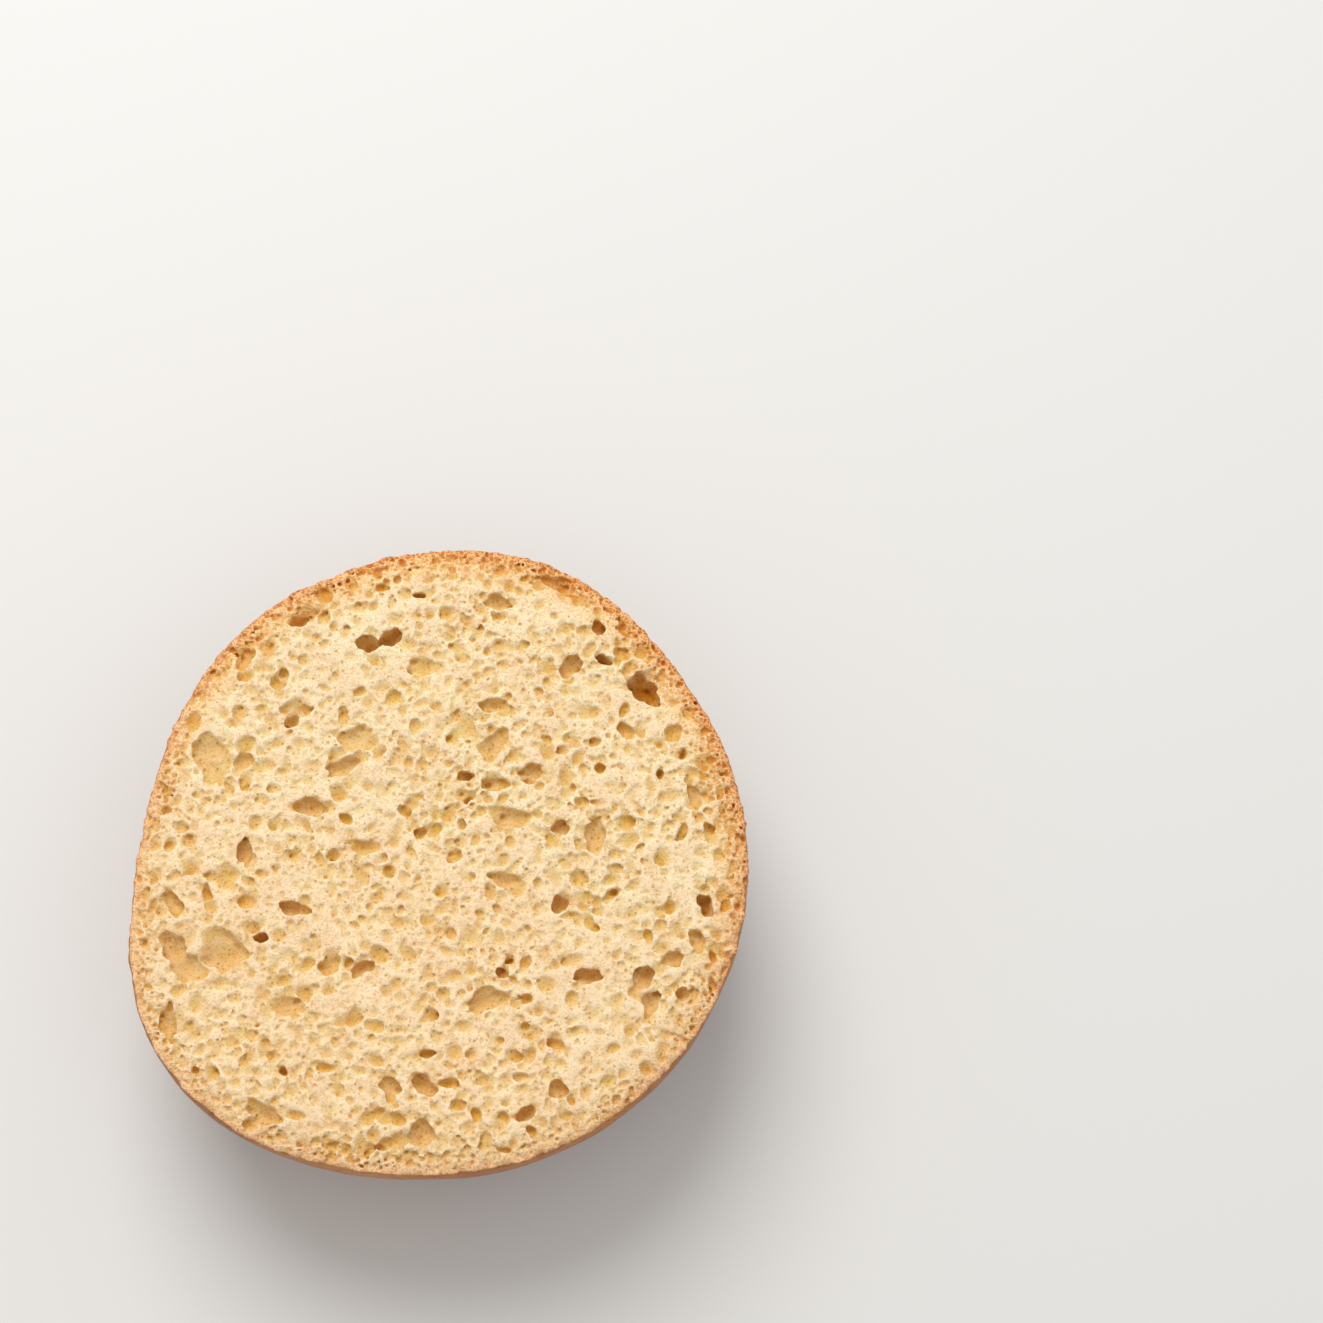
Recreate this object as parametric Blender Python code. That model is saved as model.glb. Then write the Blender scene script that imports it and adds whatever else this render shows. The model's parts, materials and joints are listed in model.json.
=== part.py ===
"""Top half of a soft round bread roll, lying on its crown with the cut face up.

The solid is one piece: a baked dough body with a level knife cut, and the gas holes that the cut opened.
Metres, +Z up. The origin is the middle of the roll's box, on the surface that it rests on.
"""

import math
import random

import bpy
from mathutils import Matrix, Vector, noise

MM = 0.001

# Driving dimensions of the dough body
MEAN_RADIUS = 45.0 * MM  # of the cut face
HEIGHT = 30.0 * MM  # resting spot to cut face
GIRTH_DEPTH = 5.0 * MM  # the roll is widest this far below the cut
RISE = 26.5 * MM  # girth to crown, before the crown settled flat
BULGE = 0.6 * MM  # how far the girth stands out past the cut face
SHOULDER = 2.25  # 2 is an ellipse, more is a fuller shoulder
RIM_ROUNDING = 0.9 * MM  # how far the cut face falls away at the crust
RIM_REACH = 2.0 * MM  # over about this distance
SIDE_WAVE = 0.35 * MM  # unevenness of the baked side
SIDE_WAVELENGTH = 16.0 * MM
STEADY_CROWN = 15.0 * MM  # the side's unevenness fades out within this radius of the crown
CUT_WAVE = 0.25 * MM  # unevenness of the knife cut
CUT_WAVELENGTH = 14.0 * MM

# How the outline of the cut face departs from a circle: (lobes, size, direction of a lobe in degrees)
OUTLINE_LOBES = (
    (1, 1.10 * MM, -120.0),
    (2, 1.55 * MM, 65.0),
    (3, 1.10 * MM, -21.0),
    (4, 0.45 * MM, 44.0),
    (5, 0.45 * MM, 1.0),
)

# Mesh of the body
SEGMENTS = 64
CUT_RINGS = 8  # on the cut face
DOME_RINGS = 14  # from the rim down to the crown
RIM_MARGIN = 1.0 * MM  # from the cut face's last ring to the outline
RING_CROWDING = 0.85  # below 1 draws the rings of the cut face outwards

# The holes that stand out most: x, y, width, length in mm, turn in degrees, depth in mm
MAIN_HOLES = (
    (-20.6, 35.4, 4.6, 2.4, 20, 1.3),
    (-21.3, 34.4, 2.3, 1.6, 20, 2.6),
    (-11.0, 30.8, 3.4, 2.2, 10, 2.8),
    (-8.2, 32.0, 3.2, 2.4, 35, 2.8),
    (-28.8, 28.8, 3.2, 1.9, 70, 1.5),
    (-21.0, 20.7, 4.5, 1.9, 5, 1.4),
    (-21.8, 19.3, 1.7, 1.9, 0, 2.4),
    (-12.0, 16.8, 5.5, 3.9, 10, 1.3),
    (-33.6, 15.0, 5.8, 4.8, 0, 1.4),
    (-33.0, 12.4, 3.6, 3.8, 0, 0.9),
    (-28.5, 13.2, 3.8, 2.2, 60, 1.3),
    (-14.5, 12.3, 5.4, 2.6, 20, 1.7),
    (-18.8, 6.3, 4.4, 3.2, 0, 1.9),
    (-3.0, 27.5, 4.2, 2.8, 0, 1.0),
    (-11.4, 0.6, 4.4, 2.2, -15, 1.4),
    (-28.6, -0.2, 2.8, 1.8, 80, 2.0),
    (17.6, 40.2, 4.8, 2.4, -35, 2.0),
    (7.8, 37.6, 3.8, 2.0, -5, 1.5),
    (22.8, 33.8, 2.4, 1.7, -60, 2.0),
    (23.6, 28.7, 2.2, 1.3, -20, 2.8),
    (29.6, 24.3, 5.2, 3.5, -55, 3.6),
    (18.7, 27.9, 3.1, 2.8, 70, 1.9),
    (7.4, 21.6, 4.2, 2.2, 0, 1.2),
    (7.3, 16.0, 4.8, 2.9, 30, 1.1),
    (12.5, 11.8, 3.8, 2.4, 15, 1.6),
    (7.5, 9.8, 4.2, 2.2, 0, 1.3),
    (9.6, 4.9, 7.2, 3.4, -5, 1.3),
    (26.7, 18.0, 3.2, 2.0, -60, 1.4),
    (33.6, 17.4, 3.0, 2.8, 30, 1.2),
    (22.0, 2.2, 4.8, 3.2, 75, 1.8),
    (16.9, 3.4, 2.2, 2.0, 0, 2.0),
    (36.8, 8.0, 3.4, 1.5, -80, 1.5),
    (-38.0, -13.9, 4.4, 3.6, -60, 1.9),
    (-36.3, -16.6, 5.2, 4.4, -25, 1.8),
    (-31.2, -14.4, 8.2, 6.2, -15, 1.8),
    (-31.0, -4.0, 3.6, 3.2, 90, 1.1),
    (-38.2, -7.8, 3.8, 2.3, -70, 1.6),
    (-21.5, -8.3, 3.8, 2.0, -10, 1.9),
    (-25.6, -12.6, 1.8, 1.2, 10, 2.2),
    (-16.2, -16.8, 3.0, 2.5, 30, 1.3),
    (-11.6, -17.0, 3.2, 1.8, 25, 1.8),
    (-22.0, -22.8, 5.0, 2.4, 0, 1.2),
    (-38.6, -24.2, 5.2, 2.1, 90, 1.7),
    (-7.5, -33.7, 3.0, 2.5, 0, 1.5),
    (-2.6, -33.6, 4.4, 2.6, -25, 1.9),
    (-25.0, -37.2, 5.8, 2.8, -30, 1.7),
    (-3.0, -40.2, 4.2, 3.4, -20, 1.7),
    (9.2, -4.3, 5.6, 2.3, -8, 1.3),
    (16.8, -7.8, 2.5, 1.9, 55, 2.3),
    (37.8, -8.0, 2.8, 1.9, -70, 2.8),
    (20.8, -18.3, 4.2, 1.9, 10, 2.2),
    (29.0, -18.6, 3.8, 2.5, 65, 2.2),
    (32.8, -16.0, 2.8, 2.7, 0, 1.6),
    (36.5, -13.3, 3.0, 2.5, 80, 1.4),
    (6.3, -22.0, 5.6, 3.1, 10, 1.8),
    (29.8, -22.4, 3.2, 1.9, 65, 1.9),
    (16.2, -34.6, 2.9, 2.3, 20, 1.9),
    (11.7, -38.0, 2.9, 1.9, 35, 2.3),
)

# The smaller holes that the knife opened between them, spread evenly with a seeded draw
SMALL_HOLES = 34
SMALL_WIDTH = (1.7 * MM, 2.6 * MM)
SMALL_LENGTH = (0.65, 0.9)  # as a share of the width
SMALL_DEPTH = 0.5  # as a share of the width
SMALL_CLEARANCE = 0.9 * MM  # between the edges of two holes
CRUST_CLEARANCE = 2.2 * MM  # from a hole's edge to the outside
LARGE_HOLE = 5.3 * MM  # a hole wider than this gets the finer cutter
HOLE_WAVE = 0.4  # unevenness of a hole's wall, as a share of its half width
HOLE_WAVELENGTH = 0.77  # in half widths
SEED = 11

CRUMB_COLOUR, CRUMB_ROUGHNESS = (0.84, 0.66, 0.36, 1.0), 0.85
CRUST_COLOUR, CRUST_ROUGHNESS = (0.50, 0.19, 0.05, 1.0), 0.5


def outline_radius(angle):
    """Radius of the cut face in this direction, in radians from +X."""
    lobes = sum(size * math.cos(n * (angle - math.radians(turn))) for n, size, turn in OUTLINE_LOBES)
    return MEAN_RADIUS + lobes


def wave(point, size, wavelength):
    """A smooth unevenness of about this size, which has no pattern."""
    return size * noise.noise(point / wavelength)


def cut_height(x, y):
    """Height of the cut face, which is a little uneven and falls away at the crust."""
    inside = outline_radius(math.atan2(y, x)) - math.hypot(x, y)
    fall = RIM_ROUNDING * math.exp(-max(inside, 0.0) / RIM_REACH)
    return HEIGHT - fall + wave(Vector((x, y, 0.0)), CUT_WAVE, CUT_WAVELENGTH)


def dome_point(angle, depth):
    """Point of the baked side, this far below the cut."""
    share = min(abs(depth - GIRTH_DEPTH) / RISE, 1.0)
    girth = outline_radius(angle) + BULGE
    radius = girth * (1.0 - share**SHOULDER) ** (1.0 / SHOULDER)
    point = Vector((radius * math.cos(angle), radius * math.sin(angle), HEIGHT - depth))
    swell = 1.0 + wave(point, SIDE_WAVE, SIDE_WAVELENGTH) / max(radius, STEADY_CROWN)
    return Vector((point.x * swell, point.y * swell, max(point.z, 0.0)))


def body_point(direction):
    """Where a point of the starting sphere goes: its upper rings on the cut face, the others on the dome."""
    angle = math.atan2(direction.y, direction.x)
    polar = math.acos(max(-1.0, min(1.0, direction.z)))
    ring = round(polar / math.pi * (CUT_RINGS + DOME_RINGS))
    if ring < CUT_RINGS:
        share = (ring / (CUT_RINGS - 1)) ** RING_CROWDING
        radius = (outline_radius(angle) - RIM_MARGIN) * share
        x, y = radius * math.cos(angle), radius * math.sin(angle)
        return Vector((x, y, cut_height(x, y)))
    quarter_turn = (ring - CUT_RINGS) / DOME_RINGS * math.pi / 2
    depth = RIM_ROUNDING + (GIRTH_DEPTH + RISE - RIM_ROUNDING) * math.sin(quarter_turn)
    return dome_point(angle, depth)


def material(name, colour, roughness):
    made = bpy.data.materials.new(name)
    made.use_nodes = True
    shader = made.node_tree.nodes["Principled BSDF"]
    shader.inputs["Base Color"].default_value = colour
    shader.inputs["Roughness"].default_value = roughness
    shader.inputs["Metallic"].default_value = 0.0
    return made


def into_collection(obj, collection):
    for old in list(obj.users_collection):
        old.objects.unlink(obj)
    collection.objects.link(obj)


def add_body(collection):
    """The dough: a sphere, its upper half pressed flat as the cut face and its lower half made the dome."""
    rings = CUT_RINGS + DOME_RINGS
    bpy.ops.mesh.primitive_uv_sphere_add(segments=SEGMENTS, ring_count=rings, radius=1.0)
    body = bpy.context.active_object
    body.name = body.data.name = "roll_half"
    for vertex in body.data.vertices:
        vertex.co = body_point(vertex.co)
    body.data.shade_smooth()
    body.data.materials.append(material("crumb", CRUMB_COLOUR, CRUMB_ROUGHNESS))
    body.data.materials.append(material("crust", CRUST_COLOUR, CRUST_ROUGHNESS))
    for face in body.data.polygons:
        face.material_index = int(face.center.z < HEIGHT - RIM_ROUNDING)
    into_collection(body, collection)
    return body


def small_holes(rng):
    """Even random places for the small holes, clear of each other and of the main ones."""
    taken = [(x * MM, y * MM, max(w, l) * MM / 2) for x, y, w, l, _, _ in MAIN_HOLES]
    found = []
    while len(found) < SMALL_HOLES:
        angle = rng.uniform(0, math.tau)
        reach = outline_radius(angle) - CRUST_CLEARANCE
        width = rng.uniform(*SMALL_WIDTH)
        radius = (reach - width / 2) * math.sqrt(rng.random())
        x, y = radius * math.cos(angle), radius * math.sin(angle)
        if any(math.hypot(x - a, y - b) < r + width / 2 + SMALL_CLEARANCE for a, b, r in taken):
            continue
        taken.append((x, y, width / 2))
        length = width * rng.uniform(*SMALL_LENGTH)
        found.append((x, y, width, length, rng.uniform(0, 180), width * SMALL_DEPTH))
    return found


def hole_cutter(index, x, y, width, length, turn, depth, collection):
    """One gas bubble, as an uneven egg whose middle is near the cut."""
    fine = 3 if width > LARGE_HOLE else 2
    bpy.ops.mesh.primitive_ico_sphere_add(subdivisions=fine, radius=1.0)
    cutter = bpy.context.active_object
    cutter.name = f"bubble_{index:03d}"
    half = Vector((width / 2, length / 2, depth))
    place = Matrix.Translation((x, y, cut_height(x, y)))
    place @= Matrix.Rotation(math.radians(turn), 4, "Z")
    for vertex in cutter.data.vertices:
        uneven = 1.0 + wave(vertex.co + Vector((index, 0, 0)), HOLE_WAVE, HOLE_WAVELENGTH)
        vertex.co = place @ (vertex.co * half * uneven)
    cutter.hide_render = True
    cutter.display_type = "WIRE"
    into_collection(cutter, collection)


def main():
    for obj in list(bpy.data.objects):
        bpy.data.objects.remove(obj)
    roll = bpy.data.collections.new("bread_roll")
    bubbles = bpy.data.collections.new("bubbles")
    for collection in (roll, bubbles):
        bpy.context.scene.collection.children.link(collection)

    body = add_body(roll)
    holes = [(x * MM, y * MM, w * MM, l * MM, turn, d * MM) for x, y, w, l, turn, d in MAIN_HOLES]
    holes += small_holes(random.Random(SEED))
    for index, hole in enumerate(holes):
        hole_cutter(index, *hole, bubbles)

    cut = body.modifiers.new("open_bubbles", "BOOLEAN")
    cut.operation = "DIFFERENCE"
    cut.operand_type = "COLLECTION"
    cut.collection = bubbles
    cut.solver = "MANIFOLD"


main()
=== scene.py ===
# %% [markdown]
# # The cut half of a soft bread roll
# A round roll was baked, left to cool and cut through with a serrated knife. This half lies on its crown,
# so that the camera looks down on the cut. Two things make it look like bread: the crumb, a foam of gas
# holes that the knife opened, and the crust, a thin browned skin that shows as a ring round the cut and
# covers the whole dome.
#
# The crumb is the hard part. Bubbles could be painted on as a bump, but then they have no depth from the
# side, and thousands of Boolean cuts would be slow and leave edges as sharp as glass. Here the dough is
# modelled as by hand from a primitive and turned into a distance field. The bubbles are carved in that
# field, where overlapping ones melt together as they do in dough, and the field is turned back into a mesh.

# %% Load the frame
import json
import math

import bpy
import numpy as np
import openvdb
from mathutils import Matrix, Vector, noise

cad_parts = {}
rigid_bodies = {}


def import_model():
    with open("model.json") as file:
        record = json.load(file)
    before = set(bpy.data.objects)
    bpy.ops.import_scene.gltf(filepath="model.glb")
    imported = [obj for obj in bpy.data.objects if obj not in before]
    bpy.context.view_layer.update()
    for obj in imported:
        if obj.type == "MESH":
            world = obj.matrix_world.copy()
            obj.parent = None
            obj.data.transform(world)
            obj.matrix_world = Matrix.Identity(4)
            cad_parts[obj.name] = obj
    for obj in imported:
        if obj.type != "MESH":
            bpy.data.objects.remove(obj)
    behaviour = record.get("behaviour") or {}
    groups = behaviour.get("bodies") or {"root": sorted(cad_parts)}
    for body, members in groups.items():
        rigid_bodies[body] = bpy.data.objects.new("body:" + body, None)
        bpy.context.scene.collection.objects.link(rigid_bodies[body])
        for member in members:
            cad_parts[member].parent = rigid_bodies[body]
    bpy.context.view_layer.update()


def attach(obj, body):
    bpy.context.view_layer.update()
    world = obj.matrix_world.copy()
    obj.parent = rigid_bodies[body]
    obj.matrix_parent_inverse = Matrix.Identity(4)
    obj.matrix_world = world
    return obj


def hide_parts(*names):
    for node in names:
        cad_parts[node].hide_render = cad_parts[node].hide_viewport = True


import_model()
bpy.ops.object.select_all(action="DESELECT")

# %% [markdown]
# ## The camera
# The photo shows the cut nearly square on, low and left in a square picture. The camera stands where the
# photo was taken from, turned until the middle of the cut lies on the same pixel. A lens shift could do
# that too, but it would stay behind in every other view.

# %% Camera
MM = 0.001
HEIGHT = 30.0  # mm, from the spot that the roll rests on to the cut face
FACE_CENTRE = Vector((0.0, 0.0, HEIGHT * MM))
PHOTO_SIDE = 1323  # px
FACE_PIXEL = (443.5, 850.0)  # px, where the middle of the cut lies in the photo
FIELD_OF_VIEW = math.radians(28.4)
SENSOR_WIDTH = 36.0  # mm
CAMERA_ELEVATION = math.radians(78.0)
CAMERA_DISTANCE = 0.379  # m, to the middle of the cut
NEAREST = 0.01  # m, where its view starts


def add_object(name, data):
    """An object with this data, in the scene."""
    made = bpy.data.objects.new(name, data)
    bpy.context.scene.collection.objects.link(made)
    return made


def aim_camera(target, pixel):
    """A camera at its distance and elevation that shows the target point at this pixel."""
    camera = add_object("camera", bpy.data.cameras.new("camera"))
    camera.data.sensor_width = SENSOR_WIDTH
    camera.data.angle = FIELD_OF_VIEW
    camera.data.clip_start = NEAREST
    half = PHOTO_SIDE / 2
    back = Vector((0.0, -math.cos(CAMERA_ELEVATION), math.sin(CAMERA_ELEVATION)))
    ray = Vector((pixel[0] - half, half - pixel[1], -half / math.tan(FIELD_OF_VIEW / 2)))
    turn = ray.rotation_difference(Vector((0.0, 0.0, -1.0)))
    camera.rotation_mode = "QUATERNION"
    camera.rotation_quaternion = back.to_track_quat("Z", "Y") @ turn
    camera.location = target + back * CAMERA_DISTANCE
    return camera


bpy.context.scene.camera = aim_camera(FACE_CENTRE, FACE_PIXEL)
print("camera", round(bpy.context.scene.camera.data.lens, 1), "mm lens")

# %% [markdown]
# ## The dough
# Before the knife, the roll is a cushion: round from above, flattened from the side and a little fuller
# than an ellipse at its shoulders. A sphere is pulled to its size in edit mode and its base is cut flat,
# where the soft crown settled. No real roll is a true circle, so the outline is then pushed in and out by
# five slow waves round it, which give the lopsided egg of the photo. All of this repeats the sizes of the
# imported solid.

# %% Size of the roll, in mm
MEAN_RADIUS = 45.0
GIRTH_DEPTH = 5.0  # the roll is widest this far below the cut
RISE = 26.5  # girth to crown
BULGE = 0.6  # how far the girth stands out past the cut face
SHOULDER = 2.25  # 2 is an ellipse, more is a fuller shoulder
SIDE_WAVE, SIDE_WAVELENGTH, STEADY_CROWN = 0.35, 16.0, 15.0
SIDE_DIMPLE, DIMPLE_WAVELENGTH = 0.20, 5.5  # too slight for the solid
RIM_ROUNDING, RIM_REACH = 0.9, 2.0  # the cut face falls away this much, over about this distance
CUT_WAVE, CUT_WAVELENGTH = 0.25, 14.0
OUTLINE_LOBES = (  # lobes, size, direction of a lobe in degrees
    (1, 1.10, -120.0),
    (2, 1.55, 65.0),
    (3, 1.10, -21.0),
    (4, 0.45, 44.0),
    (5, 0.45, 1.0),
)


def outline_radius(angle):
    """Radius of the cut face in this direction; angle may be an array."""
    lobes = sum(size * np.cos(n * (angle - math.radians(turn))) for n, size, turn in OUTLINE_LOBES)
    return MEAN_RADIUS + lobes


def wave(point, size, wavelength):
    """A smooth unevenness without a pattern, the same as in the solid."""
    return size * noise.noise(point / wavelength)


around = outline_radius(np.linspace(0, math.tau, 360))
print(f"cut face {2 * around.min():.1f} to {2 * around.max():.1f} mm across")

# %% The dough as baked, from a sphere
UNCUT_TOP = 36.0  # mm, clear of the knife's path
ROLL_SEGMENTS, ROLL_RINGS = 192, 120


def shoulder(point):
    """Moves a point of the plain ellipsoid, in mm, to the roll's shoulder, outline and slow waves."""
    angle = math.atan2(point.y, point.x)
    share = min(abs(point.z - (HEIGHT - GIRTH_DEPTH)) / RISE, 1.0)
    radius = (outline_radius(angle) + BULGE) * (1.0 - share**SHOULDER) ** (1.0 / SHOULDER)
    there = Vector((radius * math.cos(angle), radius * math.sin(angle), point.z))
    uneven = wave(there, SIDE_WAVE, SIDE_WAVELENGTH) + wave(there, SIDE_DIMPLE, DIMPLE_WAVELENGTH)
    swell = 1.0 + uneven / max(radius, STEADY_CROWN)
    return Vector((there.x * swell, there.y * swell, there.z))


def add_dough():
    """The whole roll up to just above the knife's path, with the flat spot that it rests on."""
    girth = MEAN_RADIUS + BULGE
    bpy.ops.mesh.primitive_uv_sphere_add(
        segments=ROLL_SEGMENTS,
        ring_count=ROLL_RINGS,
        radius=girth * MM,
        location=(0, 0, (HEIGHT - GIRTH_DEPTH) * MM),
    )
    dough = bpy.context.object
    dough.name = "dough"
    bpy.ops.object.mode_set(mode="EDIT")
    bpy.ops.transform.resize(value=(1.0, 1.0, RISE / girth))
    bpy.ops.object.mode_set(mode="OBJECT")
    bpy.ops.object.transform_apply(location=True)
    for vertex in dough.data.vertices:
        vertex.co = shoulder(vertex.co / MM) * MM
    bpy.ops.object.mode_set(mode="EDIT")
    for height, below in ((0.0, True), (UNCUT_TOP * MM, False)):
        bpy.ops.mesh.select_all(action="SELECT")
        bpy.ops.mesh.bisect(
            plane_co=(0, 0, height),
            plane_no=(0, 0, 1),
            use_fill=True,
            clear_inner=below,
            clear_outer=not below,
        )
    bpy.ops.mesh.select_all(action="SELECT")
    bpy.ops.mesh.quads_convert_to_tris()
    bpy.ops.object.mode_set(mode="OBJECT")
    return dough


dough = add_dough()
print("dough", len(dough.data.vertices), "points,", tuple(round(d / MM, 1) for d in dough.dimensions), "mm")

# %% [markdown]
# ## From a mesh to a distance field
# A distance field holds, for each point of a fine grid, how far it lies outside the surface, or inside as a
# negative number. Cutting is then plain arithmetic: what remains after a cut is the larger of the dough's
# distance and the negative of the cutter's. The knife, thousands of bubbles and the torn edge all become
# sums on one array. The grid step is a fifth of a millimetre, about the thickness of the thinnest walls in
# the crumb.

# %% The dough's distance field
STEP = 0.2  # mm
BAND = 6.0  # mm on each side of the surface in which distances are kept
CRUMB_FLOOR, CRUMB_TOP = 25.0, 31.5  # mm, the slab that holds all of the open crumb
REACH_X, REACH_Y = 47.0, 48.5  # mm, past the roll's sides


def mesh_points(obj):
    """The points of a mesh in mm, as an array."""
    points = np.empty(len(obj.data.vertices) * 3, np.float32)
    obj.data.vertices.foreach_get("co", points)
    return points.reshape(-1, 3) / np.float32(MM)


def mesh_triangles(obj):
    """The three points of each triangle of a mesh, by number."""
    corners = np.empty(len(obj.data.loops), np.int32)
    obj.data.loops.foreach_get("vertex_index", corners)
    return corners.reshape(-1, 3)


level_set = openvdb.FloatGrid.createLevelSetFromPolygons(
    mesh_points(dough),
    triangles=mesh_triangles(dough).astype(np.uint32),
    transform=openvdb.createLinearTransform(voxelSize=STEP),
    halfWidth=BAND / STEP,
)
bpy.data.objects.remove(dough)

low = np.floor(np.array([-REACH_X, -REACH_Y, CRUMB_FLOOR]) / STEP).astype(int)
high = np.ceil(np.array([REACH_X, REACH_Y, CRUMB_TOP]) / STEP).astype(int)
origin = tuple(int(i) for i in low)
uncut = np.zeros(high - low + 1, np.float32)
level_set.copyToArray(uncut, ijk=origin)
print("field of", uncut.shape, "points, distances", uncut.min(), "to", uncut.max(), "mm")

# %% Places of the grid's points, in mm
axis_x, axis_y, axis_z = ((low[i] + np.arange(uncut.shape[i])) * STEP for i in range(3))
place_x, place_y, place_z = (
    np.ascontiguousarray(a, np.float32) for a in np.meshgrid(axis_x, axis_y, axis_z, indexing="ij")
)

# %% [markdown]
# ## Smooth noise on the grid
# Dough is never regular. One helper makes smooth random swells of any size on the whole grid: random
# numbers on a coarse lattice, blended to the fine grid by cubic weights along each axis in turn. It is used
# to bend the bubbles, to roughen the cut and to tear the crust's edge. The seed is fixed, so the same roll
# comes out each time.

# %% Noise helper
rng = np.random.default_rng(23)


def blend_rows(count, pitch):
    """Cubic weights that spread a lattice of this pitch over count grid points."""
    along = np.arange(count) * STEP / pitch
    first = along.astype(int)
    f = along - first
    weights = (
        (1 - f) ** 3 / 6, (3 * f**3 - 6 * f**2 + 4) / 6, (-3 * f**3 + 3 * f**2 + 3 * f + 1) / 6, f**3 / 6
    )
    rows = np.zeros((count, first[-1] + 4), np.float32)
    for offset, weight in enumerate(weights):
        rows[np.arange(count), first + offset] += weight
    return rows


def swells(pitch):
    """Smooth noise on the grid with swells of about this size in mm, mostly between -1 and 1."""
    rows = [blend_rows(count, pitch) for count in uncut.shape]
    values = rng.standard_normal([r.shape[1] for r in rows]).astype(np.float32)
    for axis, weights in enumerate(rows):
        values = np.moveaxis(np.tensordot(weights, values, (1, axis)), 0, axis)
    return np.ascontiguousarray(values)


print("noise helper ready")

# %% [markdown]
# ## The knife
# The cut isn't a plane. The blade rides over firm and soft crumb, so the face swells slowly by a quarter of
# a millimetre, and the soft rim gives way under it and falls off by about a millimetre at the crust. A
# finer roughness is left where the teeth tore the cell walls. What is taken away is kept in a field of its
# own, so that it can be told later which surface was cut and which is skin.

# %% Cut the dough
CUT_ROUGHNESS, CUT_GRAIN = 0.04, 0.8  # mm, height and size of the torn texture


def cut_heights():
    """Height of the cut face over each column of the grid."""
    flat_x, flat_y = place_x[:, :, 0], place_y[:, :, 0]
    inside = outline_radius(np.arctan2(flat_y, flat_x)) - np.hypot(flat_x, flat_y)
    heights = HEIGHT - RIM_ROUNDING * np.exp(-np.maximum(inside, 0.0) / RIM_REACH)
    slow = [[wave(Vector((x, y, 0.0)), CUT_WAVE, CUT_WAVELENGTH) for y in axis_y] for x in axis_x]
    return (heights + np.array(slow)).astype(np.float32)


cut_height = cut_heights()
depth_field = cut_height[:, :, None] - place_z
knife = CUT_ROUGHNESS * swells(CUT_GRAIN) - depth_field
field = knife.copy()
print(f"cut face between {cut_height.min():.2f} and {cut_height.max():.2f} mm high")

# %% [markdown]
# ## The crumb
# Gas holes come in all sizes, and the photo shows which ones stand out: about sixty that the eye finds at
# once, some wide dishes where the knife just touched a large bubble, some dark shafts that lead into the
# next one. Those are placed one by one, each with its size, turn and depth. Some seventy smaller ones that
# can still be told apart follow. Everything finer is scattered: a bubble goes where it breaks the present
# surface, and those of one kind hardly overlap, which leaves the smooth walls of a foam standing between
# them.
#
# Each bubble is an ellipsoid that leans, so that one of its walls is steep and the other fades into the
# cut. Its points are looked up in a grid that smooth noise has bent, so that no two look alike and edges
# wander like torn dough.

# %% Bend the space that bubbles are looked up in
BENDS = ((3.2, 0.40), (1.4, 0.24), (0.65, 0.13))  # size of the swells and how far they bend, mm
BEND_SHARES = (1.0, 1.0, 0.3)  # of that along x, y and z, so less up and down
for bent, share in zip((place_x, place_y, place_z), BEND_SHARES):
    for size, amount in BENDS:
        bent += share * amount * swells(size)
print("space bent by up to", round(float(np.abs(place_x[:, 0, 0] - axis_x).max()), 2), "mm")

# %% Carve one bubble
FEATHER = 1.2  # mm past a bubble in which the field changes


def grid_box(middle, half_sizes):
    """The part of the grid round an ellipsoid, as slices, or None where it misses the grid."""
    sides = max(half_sizes[0], half_sizes[1])
    reach = np.array([sides, sides, half_sizes[2]]) + FEATHER
    first = np.maximum(np.floor((np.array(middle) - reach) / STEP).astype(int) - low, 0)
    last = np.minimum(np.ceil((np.array(middle) + reach) / STEP).astype(int) - low + 1, field.shape)
    return tuple(slice(a, b) for a, b in zip(first, last)) if (last > first).all() else None


def ellipsoid(box, middle, half_sizes, turn, lean):
    """How far each point of the box lies inside an ellipsoid, in mm.

    Turn is in degrees about the vertical. Lean is the slope by which the bubble sinks along its first side.
    """
    x, y, z = place_x[box] - middle[0], place_y[box] - middle[1], place_z[box] - middle[2]
    c, s = math.cos(math.radians(turn)), math.sin(math.radians(turn))
    along, across = x * c + y * s, y * c - x * s
    u, v, w = along / half_sizes[0], across / half_sizes[1], (z + lean * along) / half_sizes[2]
    size = np.sqrt(u * u + v * v + w * w)
    tilt = u / half_sizes[0] + w * lean / half_sizes[2]
    slope = np.sqrt(tilt**2 + (v / half_sizes[1]) ** 2 + (w / half_sizes[2]) ** 2) + 1e-6
    return size * (1 - size) / slope


def carve(middle, half_sizes, turn=0.0, lean=0.0):
    """Takes one ellipsoid out of the field."""
    box = grid_box(middle, half_sizes)
    if box:
        field[box] = np.maximum(field[box], ellipsoid(box, middle, half_sizes, turn, lean))


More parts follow.
